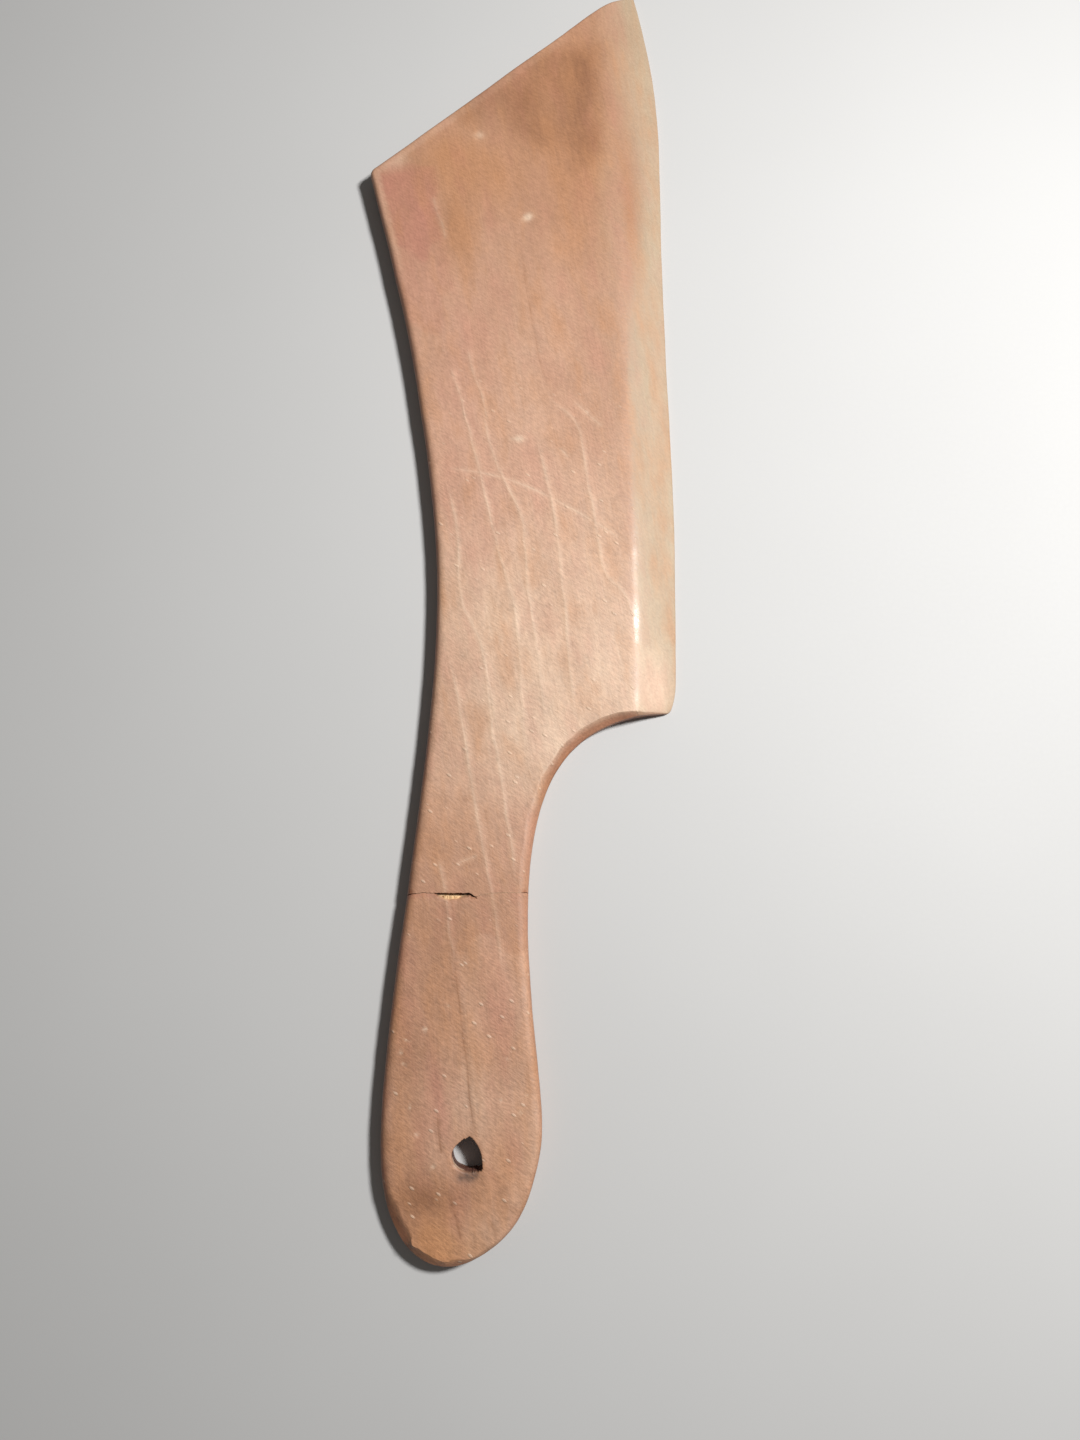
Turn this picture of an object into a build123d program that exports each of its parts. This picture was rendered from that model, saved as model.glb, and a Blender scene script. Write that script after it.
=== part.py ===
from build123d import *
import os

# Wooden kitchen spatula with the outline of a small cleaver, sawn from one flat board. It was broken
# across the waist and glued back, so it is two pieces of wood, the glue film between them, and a torn
# sliver that stands in the open mouth of the break.
#
# Frame: millimetres. The origin is on the axis of the hanging hole, at the back face. +Y runs up the grip
# to the tip of the blade, +X points at the scraping edge and +Z out of the front face.

# Board
board_thickness = 6.0
grip_rounding = 1.6         # arris of the grip, the finger hollow and the back of the blade
end_rounding = 0.8          # arris of the slanted end

# Hanging hole
hole_radius = 3.175         # a quarter-inch drill
notch_reach = 1.1           # how far the hole is worn to a point above it, towards the blade
notch_start = (2.1, 2.35)   # where the worn sides leave the round of the hole

# Outline: (x, y) of the points that each stretch passes through
back_corner = (-25.8, 231.0)
blade_tip = (39.6, 282.0)
edge_upper = (43.4, 264.0)
edge_middle = (45.7, 215.0)
edge_lower = (47.7, 140.0)
edge_end = (47.5, 105.5)
heel_bulge = (47.1, 101.2)
heel = (46.0, 97.5)
choil_top = (34.3, 95.4)
choil_middle = (26.0, 91.2)
choil_bottom = (18.6, 82.0)
waist_upper = (14.3, 68.2)
waist_right = (13.15, 49.0)
grip_right = (14.2, 30.0)
bulb_upper_right = (15.6, 16.0)
bulb_right = (16.3, 5.5)
butt_right = (14.6, -4.9)
butt_low_right = (11.1, -13.1)
butt_bottom_right = (3.6, -20.1)
butt_bottom = (-4.2, -22.6)
butt_bottom_left = (-11.1, -20.1)
butt_low_left = (-15.9, -13.5)
butt_left = (-18.3, -5.2)
bulb_left = (-18.9, 3.5)
grip_left = (-17.9, 22.0)
waist_left = (-14.1, 55.0)
back_lower = (-10.2, 88.0)
back_middle = (-8.1, 123.0)
back_upper = (-10.8, 158.0)
back_top = (-17.7, 197.0)
choil_start_way = (-1, -0.08)  # direction in which the finger hollow leaves the heel
back_end_way = (-0.24, 1)      # direction in which the back arrives at its corner

# Bevel of the scraping edge, cut from the front face alone
bevel_width = 9.4
edge_land = 1.2             # thickness left at the edge
ridge_heel = (38.2, 97.5)
ridge_tip = (32.6, 282.0)
bevel_overrun = 20.0        # how far the cutter runs past the heel, the tip and the edge

# Break across the waist: points of the torn line, from left to right and past both sides of the waist
break_line = [(-30.0, 56.2), (-7.6, 56.4), (0.3, 56.4), (1.5, 55.6), (6.4, 56.6), (12.0, 56.4), (30.0, 57.2)]
glue_thickness = 0.15

# Open mouth of the break at the front face, and the sliver in it
mouth_left = -7.6
mouth_right = 0.3
mouth_y = 56.4              # the side on the blade piece
mouth_width = 1.5
mouth_depth = 1.8
mouth_taper = 0.9           # how much shorter the handle's side of the mouth is, at each end
sliver_left = -6.5
sliver_right = -1.2
sliver_gap = 0.45           # dark slot between the sliver and the blade piece
sliver_drop = 0.1           # how far the sliver stays below the front face


# The whole board, before the break
with BuildPart() as board:
    with BuildSketch():
        with BuildLine():
            Line(back_corner, blade_tip)
            Spline(blade_tip, edge_upper, edge_middle, edge_lower, edge_end)
            ThreePointArc(edge_end, heel_bulge, heel)
            Spline(heel, choil_top, choil_middle, choil_bottom, waist_upper, waist_right, grip_right,
                   bulb_upper_right, bulb_right, tangents=[choil_start_way, (0, -1)], tangent_scalars=[1, 1])
            Spline(bulb_right, butt_right, butt_low_right, butt_bottom_right, butt_bottom, butt_bottom_left,
                   butt_low_left, butt_left, bulb_left, tangents=[(0, -1), (0, 1)], tangent_scalars=[1, 1])
            Spline(bulb_left, grip_left, waist_left, back_lower, back_middle, back_upper, back_top,
                   back_corner, tangents=[(0, 1), back_end_way], tangent_scalars=[1, 1])
        make_face()
    extrude(amount=board_thickness)

    # Worn arrises: all round, except along the scraping edge
    outline_edges = board.edges().filter_by(Plane.XY)
    end_edges = outline_edges.filter_by(GeomType.LINE)
    scraping_edges = outline_edges.filter_by(lambda edge: edge.center().X > ridge_heel[0])
    fillet(outline_edges - end_edges - scraping_edges, grip_rounding)
    fillet(board.edges().filter_by(Plane.XY).filter_by(GeomType.LINE), end_rounding)

    # Bevel: a wedge swept along the ridge, from beyond the heel to beyond the tip
    ridge_start = Vector(*ridge_heel, board_thickness)
    ridge_end = Vector(*ridge_tip, board_thickness)
    ridge_way = (ridge_end - ridge_start).normalized()
    bevel_fall = (board_thickness - edge_land) / bevel_width * bevel_overrun
    with BuildSketch(Plane(ridge_start - ridge_way * bevel_overrun, x_dir=(1, 0, 0), z_dir=ridge_way)):
        Polygon((0, 0), (bevel_overrun, bevel_fall), (bevel_overrun, -bevel_overrun), align=None)
    extrude(amount=(ridge_end - ridge_start).length + 2 * bevel_overrun, mode=Mode.SUBTRACT)

    # Hanging hole, which its cord wore to a point towards the blade
    with BuildSketch():
        Circle(hole_radius)
        Polygon((-notch_start[0], notch_start[1]), notch_start, (0, hole_radius + notch_reach), align=None)
    extrude(amount=board_thickness, mode=Mode.SUBTRACT)

# Faces of the break: the torn line, moved up and down by half the glue
upper_line = [(x, y + glue_thickness / 2) for x, y in break_line]
lower_line = [(x, y - glue_thickness / 2) for x, y in break_line]
far_left, far_right = back_corner[0] - bevel_overrun, heel_bulge[0] + bevel_overrun
far_up, far_down = blade_tip[1] + bevel_overrun, butt_bottom[1] - bevel_overrun

# Mouth of the break: its handle side is the shorter one
mouth_base = mouth_y - mouth_width
with BuildPart() as mouth:
    with BuildSketch(Plane.XY.offset(board_thickness - mouth_depth)):
        Polygon((mouth_left, mouth_y + glue_thickness / 2), (mouth_left + mouth_taper, mouth_base),
                (mouth_right - mouth_taper, mouth_base), (mouth_right, mouth_y + glue_thickness / 2),
                align=None)
    extrude(amount=mouth_depth)

with BuildPart() as blade_piece:
    add(board.part)
    with BuildSketch():
        Polygon(*upper_line, (far_right, upper_line[-1][1]), (far_right, far_up), (far_left, far_up),
                (far_left, upper_line[0][1]), align=None)
    extrude(amount=board_thickness, mode=Mode.INTERSECT)

with BuildPart() as handle_piece:
    add(board.part)
    with BuildSketch():
        Polygon(*lower_line, (far_right, lower_line[-1][1]), (far_right, far_down), (far_left, far_down),
                (far_left, lower_line[0][1]), align=None)
    extrude(amount=board_thickness, mode=Mode.INTERSECT)
    add(mouth.part, mode=Mode.SUBTRACT)

with BuildPart() as glue_film:
    add(board.part)
    with BuildSketch():
        Polygon(*lower_line, *reversed(upper_line), align=None)
    extrude(amount=board_thickness, mode=Mode.INTERSECT)
    add(mouth.part, mode=Mode.SUBTRACT)

# Torn sliver: a splinter of the handle, pointed at both ends, on the floor of the mouth
with BuildPart() as torn_sliver:
    with BuildSketch(Plane.XY.offset(board_thickness - mouth_depth)):
        Polygon((sliver_left, mouth_base), (sliver_left + mouth_taper, mouth_y - sliver_gap),
                (sliver_right - mouth_taper, mouth_y - sliver_gap), (sliver_right, mouth_base), align=None)
    extrude(amount=mouth_depth - sliver_drop)

pieces = {
    "blade_piece": blade_piece,
    "handle_piece": handle_piece,
    "glue_film": glue_film,
    "torn_sliver": torn_sliver,
}

os.makedirs("parts", exist_ok=True)
for name, piece in pieces.items():
    piece.part.label = name
    export_step(piece.part, f"parts/{name}.step")
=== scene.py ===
import math

import bpy
import numpy as np
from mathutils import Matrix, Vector
from mathutils.geometry import delaunay_2d_cdt
from mathutils.kdtree import KDTree


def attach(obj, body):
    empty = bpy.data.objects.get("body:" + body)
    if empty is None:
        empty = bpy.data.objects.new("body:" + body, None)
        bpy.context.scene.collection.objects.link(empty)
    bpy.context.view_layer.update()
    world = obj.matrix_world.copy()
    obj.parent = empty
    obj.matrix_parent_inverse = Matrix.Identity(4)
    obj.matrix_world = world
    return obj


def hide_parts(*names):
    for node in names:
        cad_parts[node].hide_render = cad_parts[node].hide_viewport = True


# A wooden kitchen spatula cut from one board, broken across the waist and glued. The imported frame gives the
# solids; here each is replaced by a finer mesh of the same outline, with worn arrises, raised veins, the
# torn faces of the break and a procedural wood. Shapes are worked out in millimetres, in the frame's axes.
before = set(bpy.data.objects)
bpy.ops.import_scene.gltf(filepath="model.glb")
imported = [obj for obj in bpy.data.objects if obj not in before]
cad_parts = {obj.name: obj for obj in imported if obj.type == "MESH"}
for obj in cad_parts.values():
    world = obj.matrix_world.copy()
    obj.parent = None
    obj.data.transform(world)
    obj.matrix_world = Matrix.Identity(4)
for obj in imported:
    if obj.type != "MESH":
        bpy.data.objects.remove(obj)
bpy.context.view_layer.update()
MM = 0.001

# Board
THICKNESS = 6.0
EDGE_LAND = 1.2             # thickness left at the scraping edge

# Outline, clockwise from the right of the bulb
BULB_RIGHT = (16.3, 5.5)
BUTT_RIGHT = (14.6, -4.9)
BUTT_LOW_RIGHT = (11.1, -13.1)
BUTT_BOTTOM_RIGHT = (3.6, -20.1)
BUTT_BOTTOM = (-4.2, -22.6)
BUTT_BOTTOM_LEFT = (-11.1, -20.1)
BUTT_LOW_LEFT = (-15.9, -13.5)
BUTT_LEFT = (-18.3, -5.2)
BULB_LEFT = (-18.9, 3.5)
GRIP_LEFT = (-17.9, 22.0)
WAIST_LEFT = (-14.1, 55.0)
BACK_LOWER = (-10.2, 88.0)
BACK_MIDDLE = (-8.1, 123.0)
BACK_UPPER = (-10.8, 158.0)
BACK_TOP = (-17.7, 197.0)
BACK_CORNER = (-25.8, 231.0)
BLADE_TIP = (39.6, 282.0)
EDGE_UPPER = (43.4, 264.0)
EDGE_MIDDLE = (45.7, 215.0)
EDGE_LOWER = (47.7, 140.0)
EDGE_END = (47.5, 105.5)
HEEL_BULGE = (47.1, 101.2)
HEEL = (46.0, 97.5)
CHOIL_CREST = (40.0, 96.6)
CHOIL_TOP = (34.3, 95.4)
CHOIL_MIDDLE = (26.0, 91.2)
CHOIL_BOTTOM = (18.6, 82.0)
WAIST_UPPER = (14.3, 68.2)
WAIST_RIGHT = (13.15, 49.0)
GRIP_RIGHT = (14.2, 30.0)
BULB_UPPER_RIGHT = (15.6, 16.0)
CHOIL_START_WAY = (-1, -0.08)
BACK_END_WAY = (-0.24, 1)
CORNER_REACH = {BACK_CORNER: 1.5, BLADE_TIP: 0.7, HEEL: 1.1}   # how far each worn corner is rounded

# Hanging hole, clockwise from the point that its cord wore towards the blade
HOLE = [(0.7, 4.45), (2.2, 2.6), (3.15, 0.4), (3.4, -1.5), (3.25, -2.7), (1.8, -2.95), (0.2, -3.0),
        (-1.5, -2.5), (-2.7, -1.5), (-3.2, 0.2), (-2.6, 2.2), (-0.9, 3.6), (0.7, 4.45)]

# Front arris at points of the outline: how far it reaches in, how far down, and 1 where it is a flat cut
FRONT_ARRIS = [
    (BULB_RIGHT, 2.0, 1.8, 0.0),
    (BUTT_LOW_RIGHT, 1.2, 1.3, 0.2),
    (BUTT_BOTTOM_RIGHT, 0.9, 1.0, 0.8),
    (BUTT_BOTTOM, 1.6, 1.3, 1.0),
    (BUTT_BOTTOM_LEFT, 2.4, 1.7, 1.0),
    (BUTT_LOW_LEFT, 2.3, 1.8, 1.0),
    (BUTT_LEFT, 2.1, 2.0, 0.3),
    (BULB_LEFT, 2.3, 2.1, 0.0),
    (WAIST_LEFT, 2.2, 2.1, 0.0),
    (BACK_LOWER, 2.1, 2.1, 0.0),
    (BACK_MIDDLE, 1.9, 2.0, 0.0),
    (BACK_TOP, 1.8, 1.9, 0.0),
    (BACK_CORNER, 1.0, 1.3, 0.0),
    (BLADE_TIP, 0.5, 0.45, 0.0),
    (EDGE_UPPER, 0.4, 0.35, 0.0),
    (EDGE_END, 0.4, 0.35, 0.0),
    (HEEL, 0.3, 0.3, 0.0),
    (CHOIL_CREST, 0.6, 0.6, 0.8),
    (CHOIL_TOP, 2.0, 1.8, 1.0),
    (CHOIL_MIDDLE, 2.3, 2.0, 1.0),
    (CHOIL_BOTTOM, 2.2, 2.0, 0.7),
    (WAIST_RIGHT, 2.1, 1.9, 0.0),
]
BACK_ARRIS = 0.9
ARRIS_STEPS = 6
WALL_STEPS = 4
SUPPORT = 0.3               # ring of faces that keeps the arris's shading off the flat faces
RIM_STEP = 0.5              # spacing of the vertices round the outline
FRONT_STEP = 0.75           # and over the front face
BACK_STEP = 1.5             # and over the back face
BREAK_STEP = 0.45           # and over the torn faces of the break

# Ridge of the bevel: (y, x), and how rounded it is: (y, share of the bevel's width)
RIDGE = [(97, 38.0), (116, 38.1), (141, 37.7), (187, 36.4), (218, 35.9), (236, 34.0), (257, 32.4),
         (284, 32.6)]
RIDGE_SOFTNESS = [(97, 0.04), (118, 0.07), (150, 0.06), (190, 0.17), (250, 0.22), (274, 0.13), (284, 0.12)]

# Break across the waist, and the open mouth on its handle side
BREAK_LINE = [(-30.0, 56.0), (-13.5, 56.1), (-10.5, 56.5), (-7.6, 56.4), (0.3, 56.4), (1.5, 55.6),
              (3.2, 56.2), (6.4, 56.5), (12.0, 56.5), (30.0, 57.2)]
GLUE_THICKNESS = 0.15
MOUTH = [(-7.7, 0.0), (-6.6, 1.1), (-5.0, 1.7), (-2.6, 1.6), (-1.4, 1.15), (-0.2, 0.85), (0.3, 0.6),
         (0.7, 0.3), (1.45, 0.26), (1.7, 0.0)]      # (x, width)
MOUTH_DEPTH = [(-7.7, 0.0), (-7.0, 1.3), (-5.0, 1.8), (-0.6, 1.8), (0.4, 1.4), (1.4, 0.7), (1.7, 0.0)]
SCOOP = [(-15.0, 0.34), (-12.0, 0.3), (-7.6, 0.16), (-6.4, 0.0)]   # (x, depth) of the flake lost at the left
SCOOP_WIDTH = 1.9
GLUE_LEFT, GLUE_RIGHT = -13.0, 12.75
SLIVER_LEFT, SLIVER_RIGHT = -6.5, -1.2
SLIVER_FAR = 55.84          # y of the sliver's upper side
# The gap is darkened with painted shade
GAP_START, GAP_END = 55.8, 57.5     # the dark gap of the break, beyond the sliver

# Lines on the front face
VEINS = [                   # grain that stands proud of the worn face
    [(-6.9, 153.6), (-3.2, 137.3), (-1.4, 120.7), (1.8, 114.6), (3.3, 107.6), (5.4, 96.5), (5.7, 88.0)],
    [(-2.6, 170.8), (2.3, 151.6), (6.1, 135.4), (9.6, 122.8), (11.3, 105.7), (12.7, 88.5)],
    [(1.4, 174.8), (6.7, 153.6), (11.2, 143.9), (12.6, 130.9), (14.9, 113.9), (17.2, 88.5)],
    [(14.2, 165.0), (18.6, 147.0), (20.7, 130.9), (22.5, 109.0), (24.0, 93.5)],
    [(17.0, 175.6), (19.2, 171.3), (22.9, 168.1), (26.2, 157.5), (28.2, 144.6), (30.2, 132.8), (31.6, 128.5),
     (34.6, 125.9), (36.1, 123.3), (38.1, 113.9)],
    [(-5.5, 112.7), (-2.8, 99.5), (0.5, 80.3), (4.0, 61.3), (6.1, 50.1), (7.3, 41.0), (8.0, 34.0)],
    [(3.3, 108.0), (5.9, 88.0), (8.4, 73.8), (10.5, 57.1)],
    [(-7.4, 65.1), (-5.5, 58.2), (-4.1, 47.5), (-3.1, 40.6)],
    [(-5.4, 180.8), (-2.6, 170.8), (0.0, 162.0)],
    [(-2.0, 185.6), (1.4, 174.8), (4.0, 165.4)],
    [(-10.4, 224.5), (-9.3, 220.5), (-7.9, 216.8), (-7.0, 212.5)],
]
SEAMS = [                   # dark lines along the grain, a little sunk
    [(10.0, 215.1), (12.0, 204.8), (13.4, 194.5), (14.9, 186.6), (17.6, 174.0)],
    [(-3.9, 45.0), (-2.0, 33.4), (0.2, 15.2), (1.0, 8.7), (2.3, 3.6)],
    [(-6.5, 9.7), (-5.9, 4.0), (-5.5, 0.8)],
    [(-4.1, -6.6), (-2.4, -11.7), (-1.0, -17.0)],
]
SCRATCHES = [               # cuts across the grain
    [(-7.9, 155.3), (6.7, 152.8), (19.1, 147.5), (29.8, 141.2), (36.5, 136.6)],
    [(23.7, 171.8), (30.9, 164.9)],
    [(10.7, 162.2), (12.3, 162.2)],
    [(20.5, 160.2), (22.9, 157.5)],
    [(-2.9, 62.9), (2.0, 64.8)],
]
NICKS = [                   # short cuts in the handle, pale inside
    [(-15.2, 22.2), (-14.0, 21.8)],
    [(-13.6, 24.2), (-13.2, 25.0)],
    [(-14.0, 19.1), (-13.8, 20.1)],
    [(-10.2, 26.9), (-8.6, 27.1)],
    [(-11.4, 5.3), (-10.6, 4.7)],
    [(11.1, 10.1), (12.1, 8.9)],
    [(6.9, 12.1), (7.9, 11.9)],
    [(-7.7, -1.4), (-6.7, -2.2)],
    [(12.9, 12.5), (13.1, 13.5)],
    [(-12.9, 10.3), (-11.9, 10.5)],
    [(-4.6, 31.6), (-3.9, 32.3)],
    [(8.4, 20.2), (9.0, 21.1)],
]
LINE_KINDS = {              # (lines, half width, height, seed of their waver)
    "vein": (VEINS, 0.3, 0.075, 40),
    "scratch": (SCRATCHES, 0.25, -0.035, 60),
    "seam": (SEAMS, 0.27, -0.03, 80),
    "nick": (NICKS, 0.22, -0.06, 120),
}
LINE_MARK_WIDTH = 1.2       # how much wider than its relief a line is coloured

# Stains and worn places on the front: (x, y, half width, half height, lean in degrees, strength)
STAINS = {
    "rose": [
        (-6.5, 14.0, 1.6, 10.0, 10, 0.5), (10.4, 0.7, 2.2, 4.5, 0, 0.6),
        (-2.4, -12.0, 2.6, 6.0, -10, 0.6), (7.0, 28.0, 4.0, 14.0, 0, 0.3),
        (2.0, 145.0, 10.0, 14.0, 0, 0.3), (-3.0, 180.0, 8.0, 22.0, 0, 0.3),
    ],
    "dark": [
        (21.0, 228.0, 10.0, 16.0, 0, 0.2), (-0.8, 77.4, 0.6, 0.6, 0, 0.8),
        (5.6, -14.0, 0.4, 1.8, 25, 0.9), (-9.5, -8.5, 6.5, 4.5, 0, 0.9), (-13.0, 22.0, 3.5, 9.0, 0, 0.3),
        (-2.0, 48.0, 8.0, 8.0, 0, 0.25), (27.5, 259.5, 3.5, 4.0, 20, 0.3),
        (25.5, 251.0, 3.0, 7.0, -8, 0.25), (36.0, 270.0, 5.0, 9.0, 0, 0.25),
        (38.5, 225.0, 3.5, 20.0, 2, 0.4), (31.0, 190.0, 7.0, 30.0, 0, 0.2),
        (-5.0, 215.0, 4.0, 9.0, 0, 0.35), (31.0, 243.0, 7.0, 18.0, 0, 0.22),
        (36.0, 175.0, 5.0, 40.0, 0, 0.15), (26.0, 165.0, 6.0, 12.0, 0, 0.1),
        (40.0, 145.0, 4.0, 20.0, 0, 0.15), (-3.0, 128.0, 4.0, 8.0, 0, 0.1),
    ],
    "orange": [
        (-6.0, 234.0, 8.0, 8.0, -20, 0.6), (-5.5, -18.0, 6.0, 3.5, -20, 1.0),
        (7.5, -1.0, 4.0, 9.0, 0, 0.5), (-15.5, 30.0, 2.0, 14.0, 8, 0.5), (3.0, 228.0, 9.0, 9.0, -30, 0.5),
        (29.0, 240.0, 3.0, 14.0, 0, 0.5), (37.6, 222.0, 1.5, 15.0, 3, 0.6),
        (24.0, 226.0, 6.0, 18.0, 0, 0.35), (-7.0, -14.0, 7.0, 7.0, 0, 0.5),
        (16.0, 250.0, 18.0, 12.0, 38, 0.5), (28.0, 230.0, 9.0, 26.0, 0, 0.3),
        (13.0, -2.0, 4.0, 9.0, 0, 0.3), (-4.5, 215.0, 4.0, 10.0, 0, 0.6), (5.0, 22.0, 7.0, 9.0, 0, 0.35),
        (1.0, 40.0, 6.0, 6.0, 0, 0.3), (1.0, -19.0, 6.0, 3.0, 0, 0.4), (22.0, 258.0, 14.0, 6.0, 38, 0.4),
        (-12.5, 1.0, 3.0, 7.0, 0, 0.3),
    ],
    "straw": [
        (30.5, 232.0, 2.6, 16.0, 4, 0.4), (33.5, 262.0, 5.0, 14.0, 0, 0.4),
        (35.0, 215.0, 5.0, 45.0, 0, 0.3),
    ],
    "pale": [
        (14.0, 150.0, 40.0, 75.0, 0, 0.75), (0.0, 80.0, 14.0, 18.0, 0, 0.3),
        (0.0, 168.0, 14.0, 28.0, 0, 0.3), (-9.0, 200.0, 9.0, 18.0, 0, 0.35),
        (0.0, 12.0, 15.0, 14.0, 0, 0.4), (7.0, -14.0, 8.0, 7.0, 0, 0.55),
        (2.0, 242.0, 9.0, 5.0, 38, 0.35), (13.0, 3.0, 5.0, 10.0, 0, 0.6), (0.5, 11.0, 7.0, 5.0, 0, 0.35),
        (-6.5, 1.0, 3.0, 5.0, 0, 0.35), (2.0, -19.0, 6.0, 3.0, 0, 0.3),
    ],
    # Cream: specks and worn places; the spots at the heel, (41.5, 104) and (43.5, 100), are painted sheen,
    # and the broad cream over the lower blade is partly painted sheen
    "cream": [
        (8.0, 116.0, 24.0, 27.0, 0, 0.52), (32.0, 115.0, 8.0, 32.0, 0, 0.42),
        (12.9, 218.5, 1.1, 0.7, 30, 2.0), (18.0, 91.0, 15.0, 14.0, 0, 0.62),
        (0.5, 12.0, 3.5, 6.0, 0, 0.2), (3.0, -15.0, 8.0, 4.0, 0, 0.15), (13.5, 0.0, 3.5, 6.0, 0, 0.15),
        (1.0, -19.5, 4.0, 2.5, 0, 0.12), (7.5, 117.0, 6.0, 8.0, 0, 0.15), (0.9, 240.2, 1.2, 0.9, 0, 0.7),
        (-19.0, 233.0, 3.0, 1.6, 38, 0.4), (41.5, 104.0, 5.0, 8.0, 0, 0.75),
        (43.5, 100.0, 3.0, 5.0, 0, 0.3), (10.7, 162.2, 1.3, 0.5, 0, 1.0),
    ],
    "grime": [
        (0.1, -3.5, 2.2, 1.0, 0, 0.85), (-1.4, -4.3, 0.6, 0.5, 0, 1.0), (1.7, -3.4, 0.8, 0.8, 20, 0.9),
        (0.6, -4.4, 1.4, 0.8, 10, 0.6),
    ],
}

# Larger ones with a definite edge: (strength, blur of the edge, corners)
PATCHES = {
    "rose": [(0.36, 1.4, [(-26.0, 230.0), (-20.0, 234.5), (-10.2, 232.0), (-9.1, 222.0), (-7.6, 213.5),
                          (-12.0, 208.0), (-19.5, 212.0)]),
             (0.3, 3.0, [(-26.0, 230.0), (-10.2, 232.0), (-7.6, 213.5), (-6.2, 202.0), (-8.0, 190.0),
                         (-18.0, 190.0)])],
    "dark": [(0.62, 10.0, [(14.1, 261.4), (31.0, 265.0), (31.4, 250.6), (28.8, 232.2), (14.8, 237.5),
                           (-4.4, 247.3)])],
    "pale": [(0.6, 1.6, [(-3.9, 45.0), (-2.0, 33.4), (0.2, 15.2), (2.2, 6.0), (5.0, -2.0), (11.0, -9.0),
                         (18.0, 0.0), (16.5, 16.0), (14.0, 45.0)])],
}


# Curves and fields

def unit(way):
    return np.asarray(way, float) / np.linalg.norm(way)


def spline(points, ways=None, step=0.1):
    """A smooth cubic through the points, cut every step. ways are the directions at its two ends."""
    p = np.array(points, float)
    h = np.linalg.norm(np.diff(p, axis=0), axis=1)
    n = len(p)
    a, b = np.zeros((n, n)), np.zeros((n, 2))
    slopes = np.diff(p, axis=0) / h[:, None]
    for i in range(1, n - 1):
        a[i, i - 1:i + 2] = h[i], 2 * (h[i - 1] + h[i]), h[i - 1]
        b[i] = 3 * (h[i] * slopes[i - 1] + h[i - 1] * slopes[i])
    if ways:
        a[0, 0] = a[-1, -1] = 1
        b[0], b[-1] = unit(ways[0]), unit(ways[1])
    else:
        a[0, :2] = a[-1, :-3:-1] = 2, 1
        b[0], b[-1] = 3 * slopes[0], 3 * slopes[-1]
    m = np.linalg.solve(a, b)
    out = []
    for i in range(n - 1):
        t = np.arange(0, 1, step / h[i])[:, None]
        out.append((2 * t**3 - 3 * t**2 + 1) * p[i] + (t**3 - 2 * t**2 + t) * h[i] * m[i]
                   + (3 * t**2 - 2 * t**3) * p[i + 1] + (t**3 - t**2) * h[i] * m[i + 1])
    return np.vstack([*out, p[-1:]])


def lookup(value, table):
    """Straight lines through the table's (place, value) pairs."""
    places, values = zip(*table)
    return np.interp(value, places, values)


def smooth(value):
    value = np.clip(value, 0, 1)
    return value * value * (3 - 2 * value)


def ripple(x, y, size, seed, waves=7):
    """A smooth random field, about -1 to 1, with bumps of that size."""
    rng = np.random.default_rng(seed)
    angle, phase = rng.uniform(0, 2 * math.pi, (2, waves))
    pitch = 2 * math.pi / (size * rng.uniform(1.4, 3.0, waves))
    total = sum(np.sin(k * (x * math.cos(a) + y * math.sin(a)) + f) for k, a, f in zip(pitch, angle, phase))
    return total / math.sqrt(waves)


def jagged(x, step, seed):
    """Broken fibres along x: random values every step, joined by straight lines."""
    rng = np.random.default_rng(seed)
    places = np.arange(-40, max(60, np.max(x) + step), step)
    return np.interp(x, places, rng.uniform(-1, 1, len(places)))


def distance_to(points, path):
    """How far each point is from the path, and its share of the way along it."""
    best = np.full(len(points), np.inf)
    share = np.zeros(len(points))
    steps = len(path) - 1
    for i in range(steps):
        a, ab = path[i], path[i + 1] - path[i]
        t = np.clip((points - a) @ ab / max(ab @ ab, 1e-12), 0, 1)
        d = np.linalg.norm(points - a - t[:, None] * ab, axis=1)
        nearer = d < best
        best[nearer] = d[nearer]
        share[nearer] = (i + t[nearer]) / steps
    return best, share


def inside(points, loop):
    """Which points lie inside the closed loop."""
    found = np.zeros(len(points), bool)
    for a, b in zip(loop, np.roll(loop, -1, axis=0)):
        if a[1] != b[1]:
            spans = (a[1] > points[:, 1]) != (b[1] > points[:, 1])
            found ^= spans & (points[:, 0] < a[0] + (points[:, 1] - a[1]) / (b[1] - a[1]) * (b[0] - a[0]))
    return found


# The board's outline

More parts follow.
